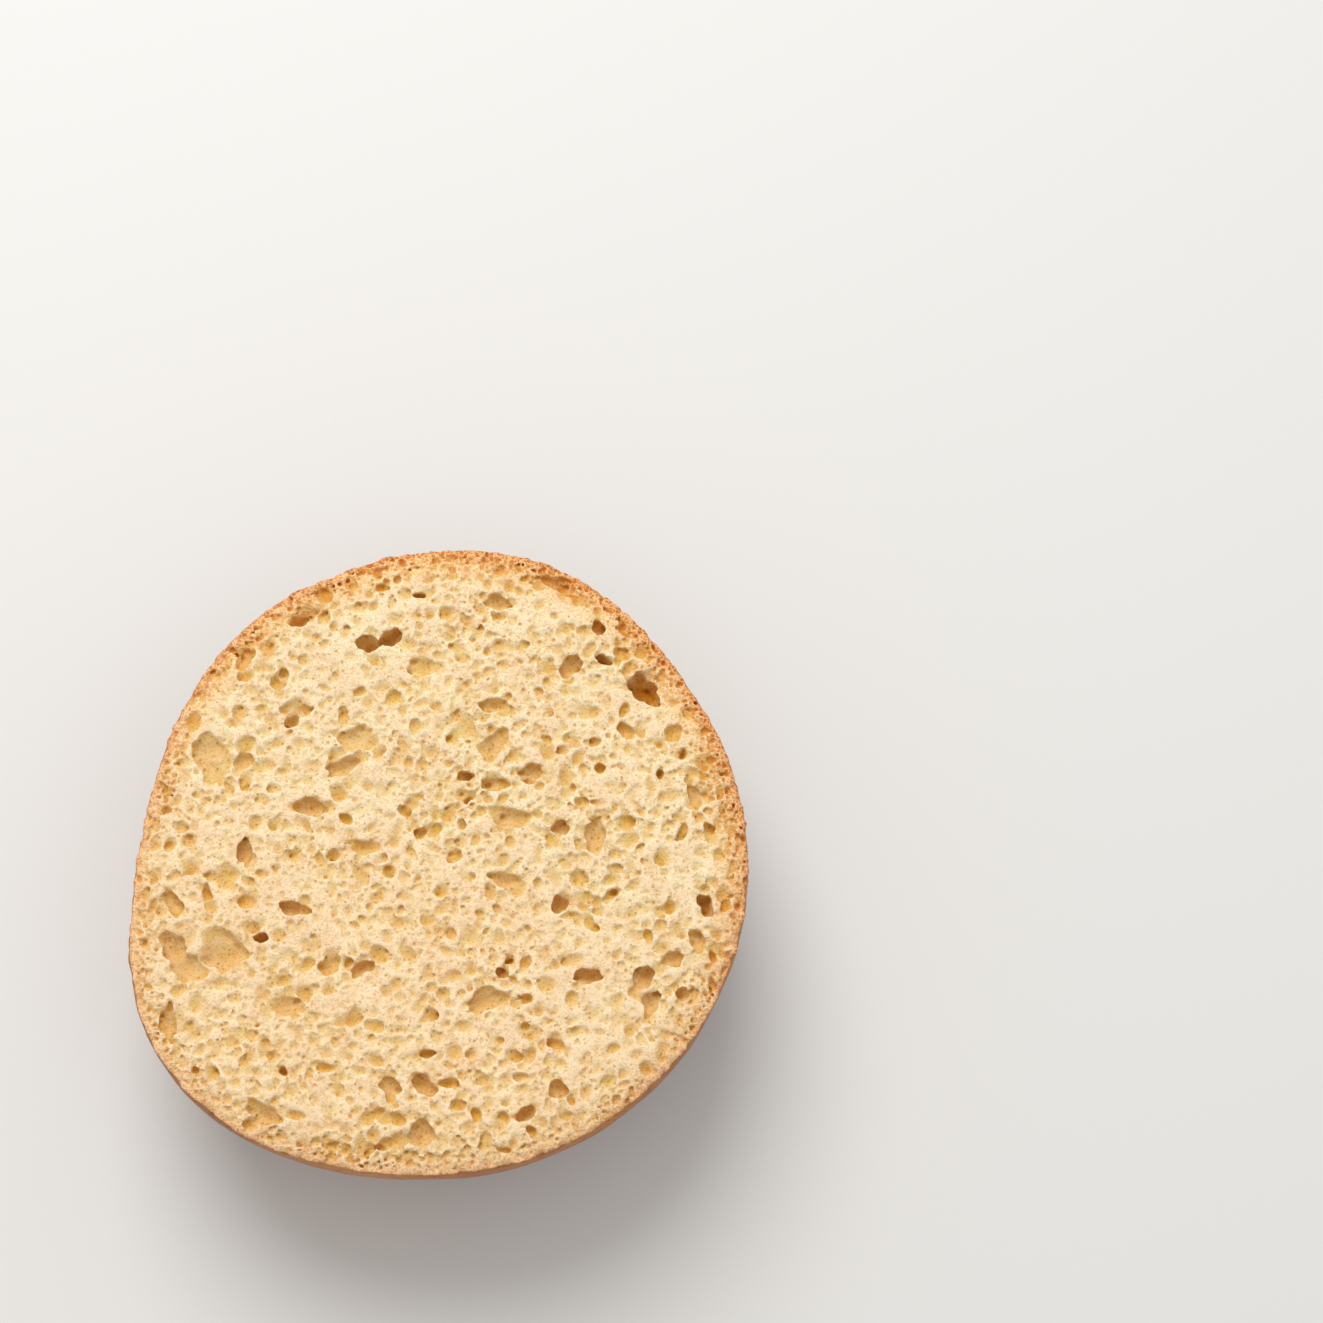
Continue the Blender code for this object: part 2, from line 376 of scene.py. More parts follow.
# %% The holes that stand out: x, y, width, length in mm, turn in degrees, depth in mm
MAIN_HOLES = (
    (-20.6, 35.4, 4.6, 2.4, 20, 1.3), (-21.3, 34.4, 2.3, 1.6, 20, 2.6),
    (-11.0, 30.8, 3.4, 2.2, 10, 2.8), (-8.2, 32.0, 3.2, 2.4, 35, 2.8),
    (-28.8, 28.8, 3.2, 1.9, 70, 1.5), (-21.0, 20.7, 4.5, 1.9, 5, 1.4),
    (-21.8, 19.3, 1.7, 1.9, 0, 2.4), (-12.0, 16.8, 5.5, 3.9, 10, 1.3),
    (-33.6, 15.0, 5.8, 4.8, 0, 1.4), (-33.0, 12.4, 3.6, 3.8, 0, 0.9),
    (-28.5, 13.2, 3.8, 2.2, 60, 1.3), (-14.5, 12.3, 5.4, 2.6, 20, 1.7),
    (-18.8, 6.3, 4.4, 3.2, 0, 1.9), (-3.0, 27.5, 4.2, 2.8, 0, 1.0),
    (-11.4, 0.6, 4.4, 2.2, -15, 1.4), (-28.6, -0.2, 2.8, 1.8, 80, 2.0),
    (17.6, 40.2, 4.8, 2.4, -35, 2.0), (7.8, 37.6, 3.8, 2.0, -5, 1.5),
    (22.8, 33.8, 2.4, 1.7, -60, 2.0), (23.6, 28.7, 2.2, 1.3, -20, 2.8),
    (29.6, 24.3, 5.2, 3.5, -55, 3.6), (18.7, 27.9, 3.1, 2.8, 70, 1.9),
    (7.4, 21.6, 4.2, 2.2, 0, 1.2), (7.3, 16.0, 4.8, 2.9, 30, 1.1),
    (12.5, 11.8, 3.8, 2.4, 15, 1.6), (7.5, 9.8, 4.2, 2.2, 0, 1.3),
    (9.6, 4.9, 7.2, 3.4, -5, 1.3), (26.7, 18.0, 3.2, 2.0, -60, 1.4),
    (33.6, 17.4, 3.0, 2.8, 30, 1.2), (22.0, 2.2, 4.8, 3.2, 75, 1.8),
    (16.9, 3.4, 2.2, 2.0, 0, 2.0), (36.8, 8.0, 3.4, 1.5, -80, 1.5),
    (-38.0, -13.9, 4.4, 3.6, -60, 1.9), (-36.3, -16.6, 5.2, 4.4, -25, 1.8),
    (-31.2, -14.4, 8.2, 6.2, -15, 1.8), (-31.0, -4.0, 3.6, 3.2, 90, 1.1),
    (-38.2, -7.8, 3.8, 2.3, -70, 1.6), (-21.5, -8.3, 3.8, 2.0, -10, 1.9),
    (-25.6, -12.6, 1.8, 1.2, 10, 2.2), (-16.2, -16.8, 3.0, 2.5, 30, 1.3),
    (-11.6, -17.0, 3.2, 1.8, 25, 1.8), (-22.0, -22.8, 5.0, 2.4, 0, 1.2),
    (-38.6, -24.2, 5.2, 2.1, 90, 1.7), (-7.5, -33.7, 3.0, 2.5, 0, 1.5),
    (-2.6, -33.6, 4.4, 2.6, -25, 1.9), (-25.0, -37.2, 5.8, 2.8, -30, 1.7),
    (-3.0, -40.2, 4.2, 3.4, -20, 1.7), (9.2, -4.3, 5.6, 2.3, -8, 1.3),
    (16.8, -7.8, 2.5, 1.9, 55, 2.3), (37.8, -8.0, 2.8, 1.9, -70, 2.8),
    (20.8, -18.3, 4.2, 1.9, 10, 2.2), (29.0, -18.6, 3.8, 2.5, 65, 2.2),
    (32.8, -16.0, 2.8, 2.7, 0, 1.6), (36.5, -13.3, 3.0, 2.5, 80, 1.4),
    (6.3, -22.0, 5.6, 3.1, 10, 1.8), (29.8, -22.4, 3.2, 1.9, 65, 1.9),
    (16.2, -34.6, 2.9, 2.3, 20, 1.9), (11.7, -38.0, 2.9, 1.9, 35, 2.3),
)
DISH, SHAFT = 0.2, 0.7  # depth over mean width, of a mere dish and of a shaft that widens downwards
DISH_SINK, SHAFT_SINK = -0.28, 0.5  # how far below the cut the middle lies, as a share of the half height
MAIN_SHARE = 0.84  # how much of a hole's width its main bubble takes, with the bays outside it
LOBE_PLACE, LOBE_SIZE, LOBE_SPREAD = 0.66, 0.42, 0.14  # shares of the hole's half size
LOBE_DEPTH, LOBE_TURN = (0.6, 0.9), 0.3  # share of the hole's depth, and unevenness of the places in radians
MELT = 0.3  # mm, how softly the lobes of one hole run into each other
LEAN = 0.25  # the steepest slope of a hole's floor


def melt(a, b, reach):
    """The larger of two fields, rounded off where they are within reach of each other."""
    return np.maximum(a, b) + np.maximum(reach - np.abs(a - b), 0) ** 2 / (4 * reach)


def open_hole(x, y, width, length, turn, depth, lobes=5):
    """A hole of this size at the cut, with bays where smaller bubbles melted into it.

    A shaft's middle is below the cut, a dish's above it.
    """
    sink = float(np.interp(depth / math.sqrt(width * length), (DISH, SHAFT), (DISH_SINK, SHAFT_SINK)))
    half_height = depth / (1 + sink)
    mouth = math.sqrt(1 - sink**2)
    sizes = np.array((width / 2 / mouth, length / 2 / mouth, half_height))
    middle, lean = (x, y, HEIGHT - sink * half_height), rng.uniform(-LEAN, LEAN)
    box = grid_box(middle, sizes)
    hollow = ellipsoid(box, middle, sizes * (MAIN_SHARE, MAIN_SHARE, 1.0), turn, lean)
    c, s = math.cos(math.radians(turn)), math.sin(math.radians(turn))
    even = rng.uniform(0, math.tau) + np.arange(lobes) * math.tau / lobes
    for angle in even + rng.normal(0, LOBE_TURN, lobes):
        share = LOBE_SIZE + LOBE_SPREAD * rng.normal()
        u, v = LOBE_PLACE * sizes[0] * math.cos(angle), LOBE_PLACE * sizes[1] * math.sin(angle)
        middle = (x + u * c - v * s, y + u * s + v * c, HEIGHT - sink * half_height)
        lobe = (share * sizes[0], share * sizes[1], half_height * rng.uniform(*LOBE_DEPTH))
        hollow = melt(hollow, ellipsoid(box, middle, lobe, turn, lean), MELT)
    field[box] = np.maximum(field[box], hollow)


for hole in MAIN_HOLES:
    open_hole(*hole)
print(len(MAIN_HOLES), "main holes")

# %% The smaller holes that can still be told apart: x, y, width, length, depth in mm
MINOR_HOLES = (
    (-33.7, 26.0, 2.0, 1.6, 1.2), (-23.5, 26.2, 2.2, 1.8, 0.9), (-7.2, 23.0, 2.4, 2.2, 1.0),
    (-5.6, 5.6, 2.2, 1.8, 1.1), (-14.0, 4.8, 1.8, 1.6, 1.1), (-3.2, 2.8, 1.8, 1.4, 1.6),
    (-12.2, 24.0, 2.8, 1.4, 1.0), (-9.0, 39.7, 2.4, 1.6, 1.2), (-3.5, 38.8, 1.8, 0.8, 1.8),
    (26.2, 29.8, 2.4, 2.2, 0.9), (26.6, 34.0, 1.2, 2.2, 1.2), (7.3, 24.3, 3.0, 2.2, 0.5),
    (2.8, 18.0, 4.5, 4.0, 0.4), (3.2, 11.0, 2.6, 1.4, 1.5), (3.6, 7.4, 1.6, 0.8, 1.6),
    (22.8, 12.3, 1.0, 1.6, 1.6), (31.4, 11.2, 1.4, 1.6, 1.6), (15.2, 16.5, 1.4, 1.4, 0.9),
    (18.0, 16.6, 1.6, 1.6, 0.9), (22.0, 16.3, 2.0, 1.6, 0.9), (26.5, 21.3, 1.8, 2.2, 1.0),
    (22.2, 21.0, 2.4, 2.0, 0.8), (35.0, 14.2, 1.0, 1.4, 1.6), (34.9, 2.8, 1.2, 2.8, 1.0),
    (2.0, 30.3, 3.5, 2.0, 0.5), (8.0, 35.3, 2.6, 1.0, 0.8), (-33.6, -5.8, 1.6, 2.8, 1.0),
    (-41.2, -7.6, 1.4, 1.8, 1.0), (-15.8, -0.7, 2.6, 1.6, 1.0), (-22.3, -18.8, 2.6, 2.2, 0.9),
    (-19.3, -16.3, 2.0, 2.4, 0.9), (-1.8, -23.7, 2.2, 2.4, 0.9), (-35.8, -25.0, 1.8, 1.8, 0.9),
    (-25.0, -28.0, 1.8, 4.0, 0.5), (-16.5, -31.0, 2.8, 1.6, 1.0), (-22.5, -31.4, 1.3, 1.3, 1.6),
    (-2.5, -29.1, 2.0, 1.2, 1.5), (-20.5, -37.5, 3.0, 1.8, 1.0), (-9.2, -37.4, 2.0, 2.0, 1.0),
    (-6.3, -38.3, 2.4, 2.2, 1.1), (-8.0, -41.6, 2.2, 2.2, 1.1), (-10.3, -42.0, 1.8, 1.8, 1.0),
    (-34.7, -31.2, 1.2, 0.8, 1.5), (-6.5, -10.5, 3.0, 2.4, 0.7), (0.8, -12.3, 1.6, 2.2, 0.9),
    (18.0, -9.5, 3.0, 1.6, 0.8), (24.0, -4.2, 2.6, 1.8, 0.9), (24.5, -6.5, 2.4, 1.8, 1.1),
    (21.9, -7.3, 2.2, 2.0, 0.9), (32.8, -8.6, 1.8, 2.4, 1.1), (40.6, -8.0, 1.4, 1.8, 1.2),
    (20.9, -10.4, 2.2, 2.0, 1.0), (29.5, -12.7, 2.0, 2.0, 1.0), (3.9, -12.8, 3.2, 3.6, 0.6),
    (9.5, -15.9, 1.5, 0.7, 1.6), (8.3, -17.8, 2.2, 1.6, 1.5), (12.0, -16.3, 2.0, 2.0, 0.9),
    (18.0, -16.0, 5.5, 2.4, 0.5), (38.6, -15.4, 1.2, 1.4, 1.6), (27.3, -21.0, 2.4, 1.8, 1.1),
    (34.2, -21.2, 1.8, 2.2, 1.6), (12.0, -21.5, 2.0, 1.6, 0.9), (16.0, -28.0, 2.8, 1.8, 1.3),
    (24.0, -28.7, 2.6, 2.0, 0.8), (10.5, -32.6, 2.0, 1.5, 0.9), (5.4, -33.0, 2.0, 1.6, 0.9),
    (0.8, -33.2, 2.2, 2.0, 1.1), (8.6, -38.4, 2.0, 2.2, 1.1), (12.5, -40.3, 1.6, 1.2, 1.5),
    (4.4, -38.0, 1.4, 2.2, 1.2), (2.3, -36.4, 1.4, 1.8, 1.0), (8.5, -42.8, 2.4, 0.8, 1.4),
    (17.2, -38.0, 2.0, 1.6, 1.0), (38.5, -19.5, 1.2, 2.0, 1.2),
)

SMALL_TURN = 15  # degrees either way
for x, y, width, length, depth in MINOR_HOLES:
    open_hole(x, y, width, length, rng.uniform(-SMALL_TURN, SMALL_TURN), depth, lobes=2)
print(len(MINOR_HOLES), "smaller holes")

# %% Find the open surface
SUNK = 0.25  # mm below the cut, from which on a place counts as in a hole


def open_surface():
    """Height of the topmost crumb over each column of the grid, with what the holes took away."""
    left = np.maximum(uncut, field)
    solid = left < 0
    top = field.shape[2] - 1 - solid[:, :, ::-1].argmax(axis=2)
    top = np.minimum(top, field.shape[2] - 2)
    below, over = (np.take_along_axis(left, (top + i)[:, :, None], 2)[:, :, 0] for i in (0, 1))
    return axis_z[top] + STEP * np.clip(below / np.minimum(below - over, -1e-6), 0, 1)


over_face = uncut[:, :, -1] < 0  # where the dough stood above the knife
in_hole = cut_height - open_surface() > SUNK
print(f"{100 * in_hole[over_face].mean():.0f}% of the cut lies in a hole so far")

# %% Scatter a kind of bubble
CROWD_SIZE = 6.0  # mm, places with more and fewer bubbles
TRIES = 20  # places tried for each bubble wanted
HEIGHTS = (0.8, 1.2)  # how much flatter or taller than its kind a bubble may be
STRETCH = 0.6  # how much longer it may be
crowd = 0.5 + 0.5 * swells(CROWD_SIZE)[:, :, 0]


def columns(x, y):
    """The grid's columns nearest to these places."""
    place = np.round(np.stack((x, y), axis=-1) / STEP).astype(int) - low[:2]
    return tuple(np.clip(place, 0, np.array(cut_height.shape) - 1).T)


def scatter(density, radii, crowding, spacing, above, from_crust, in_holes, flatness):
    """Carves bubbles of one kind into the open surface and returns how many.

    density is bubbles per mm2 of cut face and radii their smallest and largest in mm, with most near the
    small end where crowding is above 1. A bubble's middle lies above[0] to above[1] of its height over the
    surface, so a high one leaves a shallow dish and a low one a deep cup. Spacing 1 lets neighbours just
    touch. from_crust is the range of distances from the crust in mm, and in_holes the share that may open in
    the floors of the holes so far. More of them fall where the noise says that bubbles crowd.
    """
    surface = open_surface()
    sunk = cut_height - surface
    wanted = int(density * math.pi * MEAN_RADIUS**2)
    tries = wanted * TRIES
    x, y = rng.uniform(-REACH_X, REACH_X, tries), rng.uniform(-REACH_Y, REACH_Y, tries)
    sizes = radii[0] + (radii[1] - radii[0]) * rng.random(tries) ** crowding
    column = columns(x, y)
    z = surface[column] + rng.uniform(*above, tries) * sizes * flatness
    inside = outline_radius(np.arctan2(y, x)) - np.hypot(x, y)
    fits = (inside > from_crust[0] + sizes / 2) & (inside < from_crust[1])
    fits &= (sunk[column] < SUNK) | (rng.random(tries) < in_holes)
    fits &= rng.random(tries) < crowd[column]
    cell = 2 * radii[1] * spacing
    taken, made = {}, 0
    for point, size in zip(np.stack((x, y, z), axis=-1)[fits], sizes[fits]):
        key = tuple((point // cell).astype(int))
        near = (
            other
            for dx in (-1, 0, 1) for dy in (-1, 0, 1) for dz in (-1, 0, 1)
            for other in taken.get((key[0] + dx, key[1] + dy, key[2] + dz), ())
        )
        if any(math.dist(point, other) < spacing * (size + other_size) for other, other_size in near):
            continue
        taken.setdefault(key, []).append((point, size))
        long = 1 + STRETCH * rng.random()
        across = size / math.sqrt(long)
        half_sizes = (size * long, across, across * flatness * rng.uniform(*HEIGHTS))
        carve(point, half_sizes, rng.uniform(0, 360), rng.uniform(0, 2 * LEAN))
        made += 1
        if made == wanted:
            break
    return made


# %% Scatter the bubbles, from coarse to fine
ANYWHERE = 2 * MEAN_RADIUS  # mm from the crust
KINDS = (  # name, density, radii, crowding, spacing, above, from_crust, in_holes, flatness
    ("faint dishes", 0.08, (0.90, 1.80), 1.2, 0.80, (0.74, 0.88), (1.0, ANYWHERE), 0.0, 0.72),
    ("dishes", 0.12, (0.75, 1.50), 1.4, 0.96, (0.25, 0.60), (1.0, ANYWHERE), 0.0, 0.80),
    ("cups", 0.28, (0.36, 0.78), 1.3, 1.06, (0.0, 0.55), (0.6, ANYWHERE), 0.16, 0.88),
    ("small cups", 0.42, (0.24, 0.38), 1.1, 1.10, (-0.1, 0.4), (0.2, ANYWHERE), 0.12, 0.92),
)
for name, *sizes in KINDS:
    print(scatter(*sizes), name)

# %% [markdown]
# ## The torn rim
# Next to the crust the crumb is fine and dense, because it set first in the oven. The crust itself is a
# thin wall that no bubble opens, and brittle: the blade doesn't slice it clean but breaks it off in small
# flakes, so its edge is ragged where it meets the cut.

# %% Finer bubbles and a ragged edge near the crust
BY_THE_CRUST = (0.40, (0.20, 0.42), 1.0, 0.95, (-0.5, 0.2), (0.0, 2.6), 0.3, 1.0)  # in the order of KINDS
print(scatter(*BY_THE_CRUST), "fine bubbles by the crust")
WALL = 0.3  # mm, the thickness of crust that no bubble breaks through
cut_field = np.maximum(knife, np.minimum(field, -uncut - WALL))
field = np.maximum(uncut, cut_field)
TEAR, TEAR_SIZE = 0.30, 0.55  # mm, how far the rim is torn in and out, and the size of a tear
TEAR_REACH = 1.2  # mm on either side of the skin
TEAR_LOW, TEAR_HIGH = 27.0, 28.5  # mm over the table, where the tearing starts and is at its full
from_below = np.clip((axis_z - TEAR_LOW) / (TEAR_HIGH - TEAR_LOW), 0, 1)
near_rim = np.exp(-((uncut / TEAR_REACH) ** 2)) * from_below
field += near_rim * TEAR * swells(TEAR_SIZE)

# %% Fine unevenness everywhere on the cut
GRAIN, GRAIN_SIZE = 0.03, 0.45  # mm
field += (axis_z > TEAR_LOW) * GRAIN * swells(GRAIN_SIZE)

# %% [markdown]
# ## Back to a mesh
# The field goes back into the grid and its zero surface is turned into quads. Bubbles that lie sealed
# inside the dough and scraps that were cut loose become separate shells, so everything that doesn't hang
# together with the crown is deleted. That mesh has over a million triangles. Decimate takes them away where
# the surface is plain, leaves them at the cell walls, and keeps the piece under 200,000.

# %% Put the carved field back into the grid
def soften(values, share):
    """Blends this share of each neighbour into each grid point, along each axis in turn."""
    for axis in range(values.ndim):
        values = (1 - 2 * share) * values + share * (np.roll(values, 1, axis) + np.roll(values, -1, axis))
    return values


SMOOTHING = 0.05  # so little that only the steps of the grid go
carved = uncut.copy()
carved[1:-1, 1:-1, 1:] = soften(field, SMOOTHING)[1:-1, 1:-1, 1:]
level_set.copyFromArray(np.clip(carved, -BAND, BAND).astype(np.float32), ijk=origin)
PAST_THE_ROLL = 40  # grid steps
above_slab = (*(int(i) - PAST_THE_ROLL for i in low[:2]), int(high[2]) + 1)
level_set.fill(above_slab, tuple(int(i) + PAST_THE_ROLL for i in high), BAND, False)

# %% Mesh it
def mesh_from_grid(grid, name):
    """The zero surface of a distance grid as a mesh object."""
    points, triangles, quads = grid.convertToPolygons(0.0, 0.0)
    mesh = bpy.data.meshes.new(name)
    mesh.vertices.add(len(points))
    mesh.vertices.foreach_set("co", (points * MM).astype(np.float32).ravel())
    mesh.loops.add(triangles.size + quads.size)
    corners = np.concatenate((triangles.ravel(), quads.ravel()))
    mesh.loops.foreach_set("vertex_index", corners.astype(np.int32))
    sides = np.concatenate((np.full(len(triangles), 3), np.full(len(quads), 4)))
    mesh.polygons.add(len(sides))
    mesh.polygons.foreach_set("loop_start", (np.cumsum(sides) - sides).astype(np.int32))
    mesh.update(calc_edges=True)
    mesh.validate()
    return add_object(name, mesh)


roll = mesh_from_grid(level_set, "roll_half_crumb_and_crust")
bpy.context.view_layer.objects.active = roll
roll.select_set(True)
print("meshed", len(roll.data.vertices), "points")

# %% Keep what hangs together with the crown
lowest = int(mesh_points(roll)[:, 2].argmin())
bpy.ops.object.mode_set(mode="EDIT")
bpy.ops.mesh.select_mode(type="VERT")
bpy.ops.mesh.select_all(action="DESELECT")
bpy.ops.object.mode_set(mode="OBJECT")
roll.data.vertices[lowest].select = True
bpy.ops.object.mode_set(mode="EDIT")
bpy.ops.mesh.select_linked()
bpy.ops.mesh.select_all(action="INVERT")
bpy.ops.mesh.delete(type="VERT")
bpy.ops.mesh.select_all(action="SELECT")
bpy.ops.mesh.normals_make_consistent(inside=False)
bpy.ops.mesh.quads_convert_to_tris()
bpy.ops.object.mode_set(mode="OBJECT")
print("kept", len(roll.data.polygons), "triangles")

# %% Thin the mesh where it is plain
TRIANGLES = 196_000
thin = roll.modifiers.new("thin", "DECIMATE")
thin.ratio = TRIANGLES / len(roll.data.polygons)
bpy.ops.object.modifier_apply(modifier="thin")
bpy.ops.object.shade_smooth()
print("thinned to", len(roll.data.polygons), "triangles")

# %% [markdown]
# ## What the finishes need to know
# The colour of bread follows its form. Crumb is yellower and darker the deeper it lies below the cut,
# partly because holes hold the skin of the gas bubbles and partly as painted shade, which is deeper in
# narrow holes, so it is paler where a hole is wide and open. It is browner the nearer it lies to the
# outside, because the oven browned the dough from there, and the crust is darkest at its crown.
# Where two bubbles nearly meet, the wall is so thin that light comes through. All of this is read from the
# arrays and stored on the mesh as attributes, so that the finishes follow the form.

# %% Store what the finishes need on the mesh
def look_up(values, points):
    """Values of a grid array at these points, blended between the eight nearest grid points."""
    last = np.array(values.shape) - 1.001  # just inside the grid
    place = np.clip(points / STEP - low, 0, last)
    first = place.astype(int)
    f = (place - first).T
    total = 0.0
    for corner in np.ndindex(2, 2, 2):
        weight = np.prod([f[i] if corner[i] else 1 - f[i] for i in range(3)], axis=0)
        total = total + weight * values[tuple((first + corner).T)]
    return total


def store(obj, name, values):
    """A number for each point of the mesh, for the finishes to read."""
    obj.data.attributes.new(name, "FLOAT", "POINT").data.foreach_set("value", values.astype(np.float32))


WALL_BLUR, HOLE_BLUR = 5, 30  # rounds of blurring, for the size of a wall and of a wide hole
BLUR = 0.25  # share of each neighbour that one round blends in
points = mesh_points(roll)
in_slab = points[:, 2] > CRUMB_FLOOR + STEP
inward = np.where(in_slab, -look_up(uncut, points), 0.0)
depth = look_up(depth_field, points)
thin_field = field
for _ in range(WALL_BLUR):
    thin_field = soften(thin_field, BLUR)
thinness = np.where(in_slab, look_up(thin_field, points) - look_up(field, points), 0.0)
sunk_around = cut_height - open_surface()
for _ in range(HOLE_BLUR):
    sunk_around = soften(sunk_around, BLUR)
openness = np.where(in_slab, sunk_around[columns(points[:, 0], points[:, 1])], 0.0)
what_shows = {
    "inward": inward, "depth": depth, "thinness": thinness, "height": points[:, 2], "openness": openness
}
for name, values in what_shows.items():
    store(roll, name, values)
for name in ("openness", "thinness"):
    print(name, np.percentile(what_shows[name][inward > 1], (1, 10, 50, 90, 99)).round(2))
print(f"depth of the crumb up to {depth[inward > 0.5].max():.1f} mm")

# %% [markdown]
# ## The finishes
# Two finishes meet at the rim, the open crumb and the baked crust. Colours are given as on a screen, in
# hex, and turned to linear light by one function. Patterns are sized in millimetres and follow the object's
# own space.

# %% Colour and node helpers, and the settings that many nodes share
SMOOTH = {"interpolation_type": "SMOOTHSTEP"}
COLOUR = {"data_type": "RGBA"}
SCALE_AND_ADD = {"operation": "MULTIPLY_ADD"}


def linear(code):
    """A colour given as sRGB hex, as linear light with full opacity."""
    shares = [int(code[i : i + 2], 16) / 255 for i in (1, 3, 5)]
    return (*(s / 12.92 if s <= 0.04045 else ((s + 0.055) / 1.055) ** 2.4 for s in shares), 1.0)


def add_node(tree, kind, settings=(), inputs=(), stops=(), output=0):
    """Adds a node of this kind, named without ShaderNode, and returns one of its outputs, by number or name.

    Settings are its properties, inputs its sockets as values or links, and stops a ramp's places and colours.
    """
    node = tree.nodes.new("ShaderNode" + kind)
    for name, value in dict(settings).items():
        setattr(node, name, value)
    for name, value in dict(inputs).items():
        if isinstance(value, bpy.types.NodeSocket):
            tree.links.new(value, node.inputs[name])
        else:
            node.inputs[name].default_value = value
    for index, (place, colour) in enumerate(stops):
        ramp = node.color_ramp.elements
        stop = ramp[index] if index < len(ramp) else ramp.new(place)
        stop.position, stop.color = place, linear(colour)
    return node.outputs[output] if node.outputs else node


def new_finish(name):
    """An empty material, its node tree and the object's own coordinates."""
    finish = bpy.data.materials.new(name)
    finish.use_nodes = True
    tree = finish.node_tree
    tree.nodes.clear()
    return finish, tree, add_node(tree, "TexCoord", output="Object")


def per_metre(size):
    """The scale of a pattern whose features are this many mm."""
    return 1 / (size * MM)


def ramp_stops(span, stops):
    """A ramp's places and colours from distances in mm within a span."""
    return [((mm - span[0]) / (span[1] - span[0]), colour) for mm, colour in stops]


def lay_over(tree, colour, pattern, span, most, way, tint):
    """Lays a tint over a colour, from none to most of it as the pattern goes through its span."""
    strength = add_node(
        tree, "MapRange", SMOOTH, {"Value": pattern, "From Min": span[0], "From Max": span[1], "To Max": most}
    )
    kind = COLOUR | {"blend_type": way}
    return add_node(tree, "Mix", kind, {0: strength, 6: colour, 7: linear(tint)}, output=2)


print("sRGB #FAE4BA is", [round(share, 3) for share in linear("#FAE4BA")[:3]], "in linear light")

# %% [markdown]
# ### Open crumb
# Crumb is cooked starch and gluten, matte and pale. What shows as texture is one foam at two scales. The
# bubbles that are modelled take their colour from their depth: cream at the cut, straw in a dish, ochre in
# a shaft, partly the bubbles' skin and partly painted shade. The rims between them are so thin that light
# shines through and makes them whiter. The finest bubbles are too small to model, so a warped cell pattern
# draws them as small straw-coloured pits with a little relief, their straw partly painted shade.

# %% Patterns of the crumb
CRUMB_NOISES = {  # size in mm, detail
    "swirl": (0.7, 4.0),  # the unevenness of dough
    "grain": (0.34, 1.0),  # the finest crumbs, near one pixel in the photo
    "patch": (3.5, 2.0),  # warmer and cooler places
}
CRUMB_SPOTS = {"pit": 0.85, "speck": 1.3}  # mm from one of the finest bubbles or dark specks to the next
CRUMB_CELL = 0.62  # mm, the finest cells, plainest next to the crust, a little coarse so that they show
CELL_BEND = 0.6  # mm by which the swirl bends the cells
FOAM_ROUGHNESS = 0.62  # how much each finer layer of a noise shows


def crumb_patterns(tree, where):
    """The crumb's patterns by name, each sized in mm."""
    patterns = {}
    for name, (size, detail) in CRUMB_NOISES.items():
        kind = {"Scale": per_metre(size), "Detail": detail, "Roughness": FOAM_ROUGHNESS}
        patterns[name] = add_node(tree, "TexNoise", {}, {"Vector": where, **kind})
    swirl_vector = patterns["swirl"].node.outputs["Color"]
    bent = add_node(tree, "VectorMath", SCALE_AND_ADD, {0: swirl_vector, 1: (CELL_BEND * MM,) * 3, 2: where})
    for name, size in CRUMB_SPOTS.items():
        spread = {"Vector": bent, "Scale": per_metre(size)}
        cell = add_node(tree, "TexVoronoi", {}, spread, output="Color")
        patterns[name] = cell.node.outputs["Distance"]
        patterns[name + "_random"] = add_node(tree, "SeparateColor", {}, {0: cell})
    patterns["cell_wall"] = add_node(
        tree,
        "TexVoronoi",
        {"feature": "DISTANCE_TO_EDGE"},
        {"Vector": bent, "Scale": per_metre(CRUMB_CELL)},
        output="Distance",
    )
    for name in ("depth", "inward", "thinness", "openness"):
        patterns[name] = add_node(tree, "Attribute", {"attribute_name": name}, output="Fac")
    return patterns


# %% Colour of the crumb
CRUMB_DEPTHS = (-0.1, 3.0)  # mm
DEPTH_WANDER = 0.25  # mm by which the swirl shifts the colours of depth
OPENNESS = (0.4, 1.1)  # mm, mean depth all around, in the middle of a narrow hole and of a wide dish
NARROW_HOLE_SKIN_AND_SHADE = (  # small holes hold the yellow skin of their bubble, deepened with painted shade
    (-0.1, "#FAEAC8"), (0.08, "#FAE4BA"), (0.25, "#F1D9A6"), (0.5, "#E8C886"),
    (1.0, "#DFB454"), (2.0, "#D69C2C"), (3.0, "#BC7810"),
)
WIDE_DISH_SKIN_AND_SHADE = (  # wide ones are drier and paler, with less painted shade
    (-0.1, "#FAEAC8"), (0.08, "#FAE4BA"), (0.25, "#F4DDB2"), (0.5, "#EED6A8"),
    (1.0, "#E9CB94"), (2.0, "#E0B86C"), (3.0, "#C4862A"),
)


